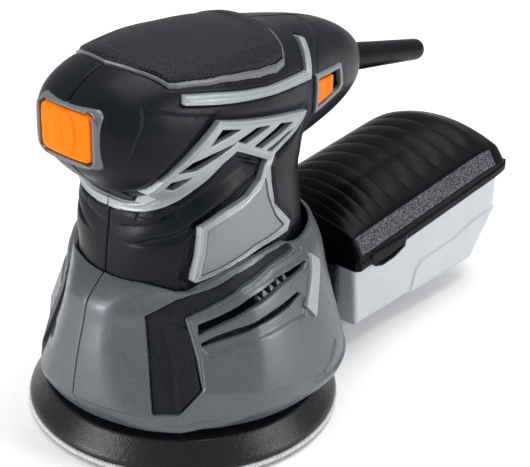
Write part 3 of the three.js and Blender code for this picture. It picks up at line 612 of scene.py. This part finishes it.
def casing_relief(g, d):
    """The body's surface with its creases and hollows, and with seats for the parts that lie on it."""
    side = g.x > 4
    y, z = g.y[0], g.z[0]
    cheek = outline(CHEEK, y, z)[None]
    d = d + np.where(side, 0.75 * ramp(g.z, 122, 134) * ramp(-cheek, -0.3, 0.7), 0)
    grille = outline(GRILLE, y, z)[None]
    d = d + np.where(g.x > 12, 1.25 * ramp(-grille, -4.2, 0.2), 0)
    ridge = line(SWOOSH, y, z)[None]
    brow = outline(BROW, y, z)[None]
    d = d + ramp(g.x, -3, 10) * 1.7 * ramp(-brow, -0.2, 0.9) * ramp(ridge, 0.2, 5.5)
    under = outline(UNDERCUT, y, z)[None]
    d = d + ramp(g.x, 7, 17) * 1.2 * ramp(-under, -0.2, 0.8) * ramp(ridge, 0.3, 1.8)
    panel = outline(NECK_PANEL, y, z)[None]
    d = d + np.where(g.x > 20, 0.8 * ramp(-panel, -0.2, 0.6), 0)
    d = d + groove(line(CAP_LINE, y, z)[None], 0.55, 0.45)
    strip = outline(STRIP, y, z)[None]
    d = d + np.where(side, 0.6 * ramp(-strip, -1.1, 0), 0)
    trim = outline(whole(TRIM), g.x[:, :, 0], g.y[:, :, 0])[:, :, None]
    d = d + 0.6 * ramp(-trim, -1.3, -0.3) * ramp(g.z, 128, 136)
    chin = between(g.z, 98, 102)
    return d + np.where(g.y < -30, 0.5 * ramp(-chin, -1, 0), 0)


def pins(g, places, radius, x0, x1):
    """Round holes or posts parallel to X. Their ends x0 and x1 are functions of each place's reach."""
    made = None
    for y, z, half in places:
        bar = np.maximum(np.hypot(g.y - y, g.z - z) - radius, between(g.x, x0(half), x1(half)))
        made = bar if made is None else np.minimum(made, bar)
    return made


def posts(g, places, d):
    """Screw posts from the middle plane to just under the surface."""
    return np.maximum(pins(g, places, SCREW_POST, lambda h: 0.15, lambda h: h), d + 0.8)


def halves(name, nodes, material, g, left, right, places, merge):
    """Left and right half shells. Both get screw bores, and the right one gets wells for the heads."""
    left = np.maximum(left, -pins(g, places, SCREW_BORE, lambda h: -9, lambda h: 11))
    piece(f"{name}_left", g, left, "housing", [nodes[0]], material, merge=merge)
    wells = pins(g, places, SCREW_WELL, lambda h: h - 6, lambda h: 99)
    bores = pins(g, places, SCREW_BORE, lambda h: -9, lambda h: h)
    right = np.maximum(right, -np.minimum(wells, bores))
    piece(f"{name}_right", g, right, "housing", [nodes[1]], material, True, merge)


def make_housing():
    g = Grid((-1.5, -63, 50.5), (38.5, 100.5, 160), 0.5)
    d = casing(g)
    outer = casing_relief(g, d)
    shell = smooth_max(np.maximum(outer, -(d + CASING_WALL)), 52 - g.z, 0.8)
    shell = np.minimum(shell, posts(g, CASING_SCREWS, d))
    shell = smooth_max(shell, SEAM - g.x, 0.8)
    rocker_window = box(g, -12.9, 12.9, -80, -50, 124.1, 143.7, 1.2)
    shell = smooth_max(shell, -rocker_window, 0.5)
    y, z = g.y[0], g.z[0]
    for slot in GRILLE_SLOTS:
        shell = np.maximum(shell, -np.maximum(outline(slot, y, z)[None], 20 - g.x))
    _, start, height = BOOT_START
    boot_hole = np.hypot(g.x, g.z - (height - 0.196 * (g.y - start))) - 6.5
    shell = np.maximum(shell, -np.maximum(boot_hole, 86 - g.y))
    windowed = np.maximum(shell, -np.maximum(outline(SLIDE_WINDOW, y, z)[None], 10 - g.x))
    nodes = ("left_housing", "right_housing")
    halves("housing", nodes, black, g, windowed, shell, CASING_SCREWS, 0.004)


def skin(d, mark, low, high, edge):
    """A skin on a surface between two depths, inside a mark, with eased edges."""
    return np.maximum(smooth_max(mark, d - high, edge), low - d)


def make_side_trim():
    g = Grid((-0.6, -48, 68), (37.5, 42, 138), 0.33)
    d = casing(g)
    y, z = g.y[0], g.z[0]
    grille = outline(GRILLE, y, z)[None]
    badge = outline(BADGE, y, z)[None]
    top = 1.25 - groove(grille + 1.0, 0.35, 0.4) - groove(badge - 0.9, 0.35, 0.4)
    border = skin(d, grille, -1.6, top, 0.5)
    for slot in GRILLE_SLOTS:
        border = smooth_max(border, -outline(slot, y, z)[None], 0.5)
    border = smooth_max(border, -badge, 0.4)
    border = smooth_max(border, SEAM - g.x, 0.4)
    plate = skin(d, np.maximum(badge + 0.3, 20 - g.x), -1.5, 0.7, 0.4)
    pairs(
        ("side_frame", g, border, "housing", "silver_paint", "{}_side_frame", silver, 0.002),
        ("badge", g, plate, "housing", "badge_paint", "{}_badge", badge_grey, 0.01),
    )


def make_accent_strips():
    g = Grid((10, -33, 128), (36, 50, 150), 0.36)
    d = casing(g)
    strip = outline(STRIP, g.y[0], g.z[0])[None]
    top = 1.3 - groove(strip + 0.75, 0.4, 0.3)
    bar = skin(d, strip, -1.2, top, 0.5)
    pairs(("accent_strip", g, bar, "housing", "silver_paint", "{}_accent_strip", silver, 0.002))


def make_top():
    g = Grid((-31, -44, 133), (31, 35, 160), 0.42)
    d = casing(g)
    trim = outline(whole(TRIM), g.x[:, :, 0], g.y[:, :, 0])[:, :, None]
    grip = trim + 1.2
    centre = d - 1.3 + 0.6 * ramp(-grip, 4.6, 6.6)
    pad = np.maximum(smooth_max(grip, centre, 1.0), -1.0 - d)
    piece("grip_pad", g, pad, "housing", ["top_grip"], grip_black, merge=0.002)
    edge = skin(d, smooth_max(trim, -trim - 0.85, 0.2), -1, 0.6, 0.4)
    piece("grip_trim_line", g, edge, "housing", ["grip_trim"], trim_grey, merge=0.002)


def make_rocker():
    g = Grid((-16.5, -66.5, 120), (16.5, -40, 148), 0.36)
    d = casing(g)
    across = np.abs(g.x)

    def window(half, middle, high, corner):
        """Distance to a rectangle with round corners, seen from the front."""
        u, v = across - half + corner, np.abs(g.z - middle) - high + corner
        return np.hypot(np.maximum(u, 0), np.maximum(v, 0)) + np.minimum(np.maximum(u, v), 0) - corner

    rim = smooth_max(window(15.3, 133.4, 11.2, 3.1), -window(13, 133.8, 9.5, 2.9), 0.4)
    rim = smooth_max(rim, d - 1.1, 1.2)
    rim = np.maximum(np.maximum(rim, -1.5 - d), g.y + 41)
    piece("switch_rim", g, rim, "housing", ["switch_frame"], trim_grey, merge=0.002)
    height = 0.8 - groove(g.x, 0.22, 0.45) * ramp(-np.abs(g.z - 133.9), -7.5, -6.5)
    rocker = smooth_max(smooth_max(window(12.6, 133.8, 9.1, 3), d - height, 1.2), g.y + 53.2, 0.3)
    piece("rocker", g, rocker, "front_rocker", ["front_rocker"], orange, merge=0.002)


def make_slide():
    g = Grid((8, 44, 113), (27, 74, 134), 0.3)
    d = casing(g)
    y, z = g.y[0], g.z[0]
    bezel = outline(SLIDE_FRAME, y, z)[None]
    hole = outline(SLIDE_WINDOW, y, z)[None]
    rim = skin(d, smooth_max(bezel, -hole, 0.5), -1.5, 1.3, 0.8)
    piece("slide_bezel", g, np.maximum(rim, 10 - g.x), "housing", ["slide_frame"], badge_grey)
    button = outline(SLIDE_BUTTON, y, z)[None]
    ridges = groove(((g.y - 50) % 2.6) - 1.3, 0.35, 0.45) * ramp(g.y, 54.5, 55.2)
    block = skin(d, button, -2.9, 0.8 + ridges, 0.7)
    piece("slide_knob", g, block, "slide_button", ["slide_button"], orange)


# ---------- skirt ----------
def skirt_relief(g, d):
    """The skirt's surface with the vent panel, the step before the duct and the fold low down."""
    ledge = around(g, LEDGE)
    d = d + 0.8 * ramp(-ledge, -0.1, 0.9)
    edge = around(g, VENT_EDGE, line)
    d = d + groove(edge, 0.75, 0.45)
    behind = around(g, REAR_LINE)
    d = d + 1.2 * ramp(-behind, -0.1, 0.3) * ramp(g.z, 22, 24)
    wedge = around(g, WEDGE)
    d = d + 1.5 * ramp(-wedge, -0.1, 0.5)
    degrees = np.degrees(np.arctan2(np.abs(g.x), -g.y))
    ridge = np.interp(degrees, *np.array(RIDGE).T)
    below = ridge - g.z
    lowest = 21.5  # the tuck under the fold deepens down to this height
    tucked = 0.3 * np.clip(below, 0, ridge - lowest) + 0.4 * ramp(below, -0.1, 0.3)
    return (d + tucked).astype(np.float32)


def make_skirt():
    g = Grid((-1.5, -64, 15.5), (64, 66, 79), 0.45)
    d = skirt(g)
    outer = skirt_relief(g, d)
    waist = neck(g)
    inside = np.maximum(d + SKIRT_WALL, outer + 1.7)
    shell = np.maximum(outer, -np.maximum(inside, g.z - 68))
    shell = smooth_max(shell, 17.3 - g.z, 1.2)
    top = np.interp(g.y, *np.array(SKIRT_TOP).T)
    shell = smooth_max(shell, (g.z - top).astype(np.float32), 0.35)
    shell = np.maximum(shell, 0.4 - waist)
    shell = smooth_max(shell, -np.maximum(inside, waist - 6), 0.6)  # a ledge round the neck stays
    shell = np.maximum(shell, -np.maximum(outer + 1.9, g.z - 19))  # the bottom is open
    outlet = box(g, -22.4, 22.4, 30, 90, 16.7, 37.3, 0.6)
    shell = smooth_max(shell, -outlet, 0.6)
    pocket = np.maximum(around(g, POCKET), -2.4 - d)
    shell = smooth_max(shell, -pocket, 0.4)
    for slot in (UPPER_SLOT, LOWER_SLOT):
        shell = smooth_max(shell, -np.maximum(around(g, slot), -3.4 - d), 0.4)
    spacing = 4.2  # of the leaning teeth behind the upper slot
    across = np.abs(((g.y + 0.25 * g.z) % spacing) - spacing / 2)
    tooth = across - np.clip(0.5 * (68.4 + 0.12 * g.y - g.z), 0, 1.7)
    fins = np.maximum(tooth, np.maximum(np.abs(d + 3.7) - 1.3, np.abs(g.z - 65.5) - 5))
    fins = np.maximum(fins, np.maximum(np.abs(g.y + 1) - 8.5, 20 - g.x))
    shell = np.minimum(shell, fins)
    shell = smooth_max(np.minimum(shell, posts(g, SKIRT_SCREWS, d)), SEAM - g.x, 0.5)
    halves("skirt", ("left_skirt", "right_skirt"), grey, g, shell, shell, SKIRT_SCREWS, 0.002)


def make_inserts():
    g = Grid((12, -54, 20), (58, 42, 80), 0.36)
    d = skirt(g)
    face = around(g, POCKET_FACE)
    pocket = around(g, POCKET)
    bottom = -1.4 + 1.6 * ramp(-face, -0.6, 0.3)
    fill = np.maximum(np.maximum(pocket + 0.25, d - bottom), -3.1 - d)
    fill = np.maximum(fill, 0.5 - neck(g))
    bar = skin(d, around(g, DUCT_BAR), -0.8, 1.2, 0.5)
    pairs(
        ("pocket_fill", g, fill, "housing", "black_plastic", "{}_pocket_insert", insert_black, 0.002),
        ("vent_bar", g, bar, "housing", "silver_paint", "{}_duct_bar", silver, 0.002),
    )


# ---------- pad ----------
def holed(g, field):
    """The field with the eight dust holes cut through it."""
    for x, y in HOLES:
        field = smooth_max(field, HOLE_RADIUS - np.hypot(g.x - x, g.y - y), 0.4)
    return field


def wobble(g, scale, seed):
    """A fixed smooth unevenness between about -1 and 1."""
    turn = np.random.default_rng(seed).uniform(0, 6.28, 12)
    made = 0
    for k in range(4):
        a, b, c = turn[3 * k : 3 * k + 3]
        way = (math.cos(a), math.sin(a), math.cos(b))
        made = made + np.sin((g.x * way[0] + g.y * way[1] + g.z * way[2]) * scale * (1 + 0.4 * k) + c)
    return made / 3


def make_pad():
    g = Grid((-65, -66.5, 2.2), (65, 64, 14.5), 0.5)
    r = np.hypot(g.x, g.y + ORBIT)
    rim = r - PAD_RADIUS
    cone = (rim + (g.z - 5) * 0.8) * 0.78
    body = smooth_max(smooth_max(rim, cone, 1.2), between(g.z, *PAD_HEIGHTS), 0.7)
    body = body + 0.025 * wobble(g, 2.2, 7)
    body = np.maximum(body, -np.maximum(r - 8.3, g.z - 10.3))
    body = np.maximum(body, -(r - 2.8))
    piece("pad_body", g, holed(g, body), "pad", ["backing_pad"], rubber, merge=0.003)
    g = Grid((-66, -67, 0.2), (66, 65, 4.4), 0.35)
    r = np.hypot(g.x, g.y + ORBIT)
    fuzz = 0.28 * wobble(g, 5.1, 3) + 0.2 * wobble(g, 9.7, 11)
    layer = smooth_max(r - PAD_RADIUS - 0.4 - fuzz, between(g.z, *HOOK_HEIGHTS), 0.8)
    layer = np.maximum(layer, 8.3 - r)
    piece("hook_pile", g, holed(g, layer), "pad", ["hook_layer"], velour, merge=0.003)
    g = Grid((-64, -65, -0.6), (64, 63, 1.8), 0.35)
    r = np.hypot(g.x, g.y + ORBIT)
    disc = holed(g, smooth_max(r - PAD_RADIUS + 0.1, between(g.z, *DISC_HEIGHTS), 0.2))
    piece("sanding_disc", g, disc, "pad", ["abrasive_disc"], abrasive, merge=0.003)


# ---------- dust outlet, box and lid ----------
def rim_at(y):
    """Height of the box's sloping rim."""
    return 40 + (y - 70) * 0.095


BOX_SIDE = [(73.5, 10), (160, 10), (178, 31), (178, 53.2), (70, 43)]
BOX_PANEL = [
    (111.5, 4), (112.1, 11.5), (115.3, 21.2), (119.9, 24.8), (124.9, 25), (144, 26.1), (159.3, 29.7),
    (182, 31.8), (190, 31.8), (190, 0),
]


def make_outlet():
    g = Grid((-24.5, 49, 15), (24.5, 81, 39), 0.5)
    tube = box(g, -20, 20, 50, 80, 19, 35, 1.2)
    flange = box(g, -22, 22, 50, 66.5, 17, 37, 1.0)
    bore = box(g, -18, 18, 40, 90, 21, 33, 0.8)
    collar = smooth_max(np.minimum(flange, tube), -bore, 0.4)
    piece("outlet_tube", g, collar, "housing", ["outlet_collar"], black)
    seal = np.maximum(box(g, -23.5, 23.5, 67.4, 69.7, 15.5, 38.5, 0.8), -box(g, *PLUG_HOLE, 0.6))
    piece("outlet_seal", g, seal, "dust_box", ["inlet_seal"], foam)


def make_box():
    g = Grid((-34, 68.5, 8.5), (34, 179.5, 56), 0.55)
    y, z = g.y[0], g.z[0]
    side = outline(BOX_SIDE, y, z)[None]
    panel = outline(BOX_PANEL, y, z)[None]
    flank = np.abs(g.x) - 32 + 1.1 * ramp(panel, -0.4, 0.4)
    outer = smooth_max(smooth_max(side, flank, 2.6), g.z - rim_at(g.y) - 3, 0.8)
    wall = 1.9
    inner = smooth_max(side + wall, flank + wall, 1.6)
    inner = smooth_max(inner, 9.9 + wall - g.z, 1)
    inner = np.where(g.z > 40, np.maximum(np.abs(g.x) - 30.1, between(g.y, 71.9, 176.1)), inner)
    body = smooth_max(outer, -inner, 0.6)
    body = smooth_max(body, -box(g, *PLUG_HOLE, 0.6), 0.4)
    piece("dust_bin", g, body, "dust_box", ["dust_container"], clear, merge=0.003)


RIBS = [70, 74.5, 79.5, 85.5, 92.5, 101, 112, 123.2, 134.5, 146, 157, 168]
LATCH = [(75.5, 46), (75.5, 43), (79.5, 38.6), (84, 37.2), (92, 37.8), (100, 40.4), (101.5, 46.5)]


def lid_sides(g):
    """Distances to the lid's upright side, sloping grip band and arched top."""
    half, lip, shoulder, crown = lid_form(g.y)
    height = g.z - rim_at(g.y)
    across = np.abs(g.x)
    run, rise = 5.1, shoulder - lip
    band = ((across - half) * rise + (height - lip) * run) / np.hypot(run, rise)
    reach = half - run
    top = height - shoulder - (crown - shoulder) * (1 - (across / reach) ** 2)
    return across - half, band, top * 0.93, height


def rib_profile(g):
    """1 on the crests of the lid's ribs, falling steeply behind each crest and rising slowly to the next."""
    saw = np.ones((1, g.y.shape[1], 1), np.float32)
    for a, b in zip(RIBS, RIBS[1:]):
        t = (g.y - a) / (b - a)
        drop = np.where(t < 0.1, 1 - ramp(t, 0, 0.1), 1 - (1 - np.clip((t - 0.16) / 0.84, 0, 1)) ** 1.7)
        saw = np.where((t >= 0) & (t < 1), drop, saw)
    return saw


def make_lid():
    g = Grid((-37.5, 66, 29.5), (37.5, 182.5, 72), 0.42)
    side, band, top, height = lid_sides(g)
    depth = 2.3 * ramp(np.abs(g.x), 29, 14) * np.clip((g.y - 62) / 22, 0.35, 1)
    ribbed = top + depth * (1 - rib_profile(g))
    ends = between(g.y, 67.6, 181)
    body = smooth_max(smooth_max(side, band, 0.8), smooth_max(top, ends, 3), 0.8)
    outer = smooth_max(body, smooth_max(ribbed, ends, 1), 0.5)
    inner = np.maximum(np.maximum(side, band), np.maximum(top + 2.2, ends)) + 2.2
    flange = np.maximum(np.maximum(side - 0.75, ends - 0.5), height - 3.7)
    shell = np.minimum(np.maximum(outer, -height), smooth_max(flange, -height, 0.8))
    shell = smooth_max(shell, -np.maximum(inner, -6 - height), 0.3)
    # A snap tab on each side, hollowed behind.
    y, z = g.y[0], g.z[0]
    tab = outline(LATCH, y, z)[None]
    latch = smooth_max(tab, np.abs(np.abs(g.x) - 34.0) - 1.7, 1.0)
    notch = np.maximum(tab + 1.6, np.maximum(height + 0.6, 34.6 - np.abs(g.x)))
    shell = np.minimum(shell, smooth_max(latch, -notch, 0.4))
    # Room for the container's rim.
    sleeve = np.maximum(outline(BOX_SIDE, y, z)[None] - 0.5, np.abs(g.x) - 32.5)
    shell = np.maximum(shell, -np.maximum(sleeve, height - 3.5))
    piece("lid_shell", g, shell, "dust_lid", ["dust_lid"], lid_black, merge=0.002)


def make_lid_grips():
    g = Grid((26, 66, 42), (37, 174, 68), 0.3)
    _, band, _, height = lid_sides(g)
    _, lip, shoulder, _ = lid_form(g.y)
    mark = np.maximum(lip + 0.5 - height, height - shoulder + 0.7)
    mark = np.maximum(mark, between(g.y, 70.4, 170))
    inlay = skin(band, mark, -1.2, 0.3, 0.4)
    pairs(("lid_grip", g, inlay, "dust_lid", "black_plastic", "dust_lid", lid_stipple, 0.003))


# ---------- cord boot ----------
def lathe(name, rows, start, end):
    """A turned shape along a line from start to end. Rows are (radius, share of the way)."""
    sides = 64
    start, end = Vector(start), Vector(end)
    way = (end - start).normalized()
    one = way.orthogonal().normalized()
    two = way.cross(one)
    points, faces = [], []
    for radius, along in rows:
        centre = start + (end - start) * along
        for k in range(sides):
            a = 2 * math.pi * k / sides
            points.append((centre + (one * math.cos(a) + two * math.sin(a)) * radius) * MM)
    for level in range(len(rows)):
        after = (level + 1) % len(rows)
        for k in range(sides):
            j = (k + 1) % sides
            faces.append((level * sides + k, level * sides + j, after * sides + j, after * sides + k))
    return mesh_object(name, np.array([tuple(p) for p in points]), faces)


def make_boot():
    length = 62.16
    rows = [(3.4, 0), (5.8, 0), (5.8, 3), (7.2, 3.05), (7.4, 3.3), (7.4, 5.7), (7.2, 5.95), (6.05, 6)]
    rows += [(6, 12)] + [(5.95 - 0.02 * k, 14 + k * 1.2) for k in range(7)]
    rows += [(5.7, 24), (5.4, 34), (5.1, 46), (4.8, 58), (4.75, 60.2), (4.6, 61.3), (4.3, 62), (3.95, 62.16)]
    rows += [(3.6, 62.1), (3.4, 61.7), (3.4, 40), (3.4, 20)]
    made = lathe("boot", [(r, a / length) for r, a in rows], BOOT_START, BOOT_END)
    made.data.materials.append(boot_black)
    finished(made, "housing", ["cord_boot"])


make_housing()
make_side_trim()
make_accent_strips()
make_top()
make_rocker()
make_slide()
make_skirt()
make_inserts()
make_pad()
make_outlet()
make_box()
make_lid()
make_lid_grips()
make_boot()

# The CAD pieces that stay in sight: each material goes on every node with its slot.
CARRIED = {
    steel: "steel",
    laminations: "laminations",
    copper: "copper",
    carbon: "carbon",
    cast: "cast_metal",
    board: "circuit_board",
    paper: "filter_paper",
    dark: "black_plastic",
}
slot_of = {row["node"]: row["material_slot"] for row in frame["record"]["subparts"]}
for name, node in frame["nodes"].items():
    for material, slot in CARRIED.items():
        if not node.hide_render and slot_of[name] == slot:
            node.data.materials.clear()
            node.data.materials.append(material)


# ---------- stage ----------
def make_floor():
    reach, level = 2.5, -0.0006
    corners = [(-reach, -reach), (reach, -reach), (reach, reach), (-reach, reach)]
    made = mesh_object("floor", np.array([(x, y, level) for x, y in corners]), [(0, 1, 2, 3)])
    made.data.materials.append(nodes_of("floor", (0.93, 0.93, 0.93), 0.7)[0])


def light(name, place, target, size, power):
    """A rectangular lamp at a place, turned to its target."""
    lamp = bpy.data.lights.new(name, "AREA")
    lamp.shape = "RECTANGLE"
    lamp.size, lamp.size_y = size
    lamp.energy = power
    made = bpy.data.objects.new(name, lamp)
    made.location = place
    made.rotation_mode = "QUATERNION"
    made.rotation_quaternion = (Vector(target) - Vector(place)).to_track_quat("-Z", "Y")
    bpy.context.scene.collection.objects.link(made)


make_floor()
light("key", (-0.34, -0.95, 0.36), (0, 0, 0.07), (0.3, 0.55), 9.5)
light("fill", (0.95, 0.42, 0.42), (0, 0.02, 0.07), (0.35, 0.7), 7)
light("top", (0.0, 0.35, 1.1), (0, 0.08, 0.08), (0.9, 0.9), 10)
world = bpy.data.worlds.new("studio")
world.use_nodes = True
world.node_tree.nodes["Background"].inputs["Color"].default_value = (0.96, 0.98, 1, 1)
world.node_tree.nodes["Background"].inputs["Strength"].default_value = 0.5
bpy.context.scene.world = world
bpy.context.scene.view_settings.view_transform = "Standard"

# ---------- camera ----------
AZIMUTH, ELEVATION = math.radians(43.5), math.radians(28.4)
AIM_HEIGHT, AWAY = 0.06, 0.6
back = Vector((
    math.sin(AZIMUTH) * math.cos(ELEVATION),
    -math.cos(AZIMUTH) * math.cos(ELEVATION),
    math.sin(ELEVATION),
))
camera = bpy.data.objects.new("camera", bpy.data.cameras.new("camera"))
bpy.context.scene.collection.objects.link(camera)
camera.data.sensor_width = 36
camera.data.lens = 103.2
camera.data.clip_start, camera.data.clip_end = 0.01, 20
camera.location = Vector((0, 0, AIM_HEIGHT)) + back * AWAY
straight = (-back).to_track_quat("-Z", "Y")
aim = Vector((0.0520, 0.0173, -1)).normalized()  # the middle of the frame, off the line to the motor axis
camera.rotation_mode = "QUATERNION"
camera.rotation_quaternion = straight @ Vector((0, 0, -1)).rotation_difference(aim)
bpy.context.scene.camera = camera
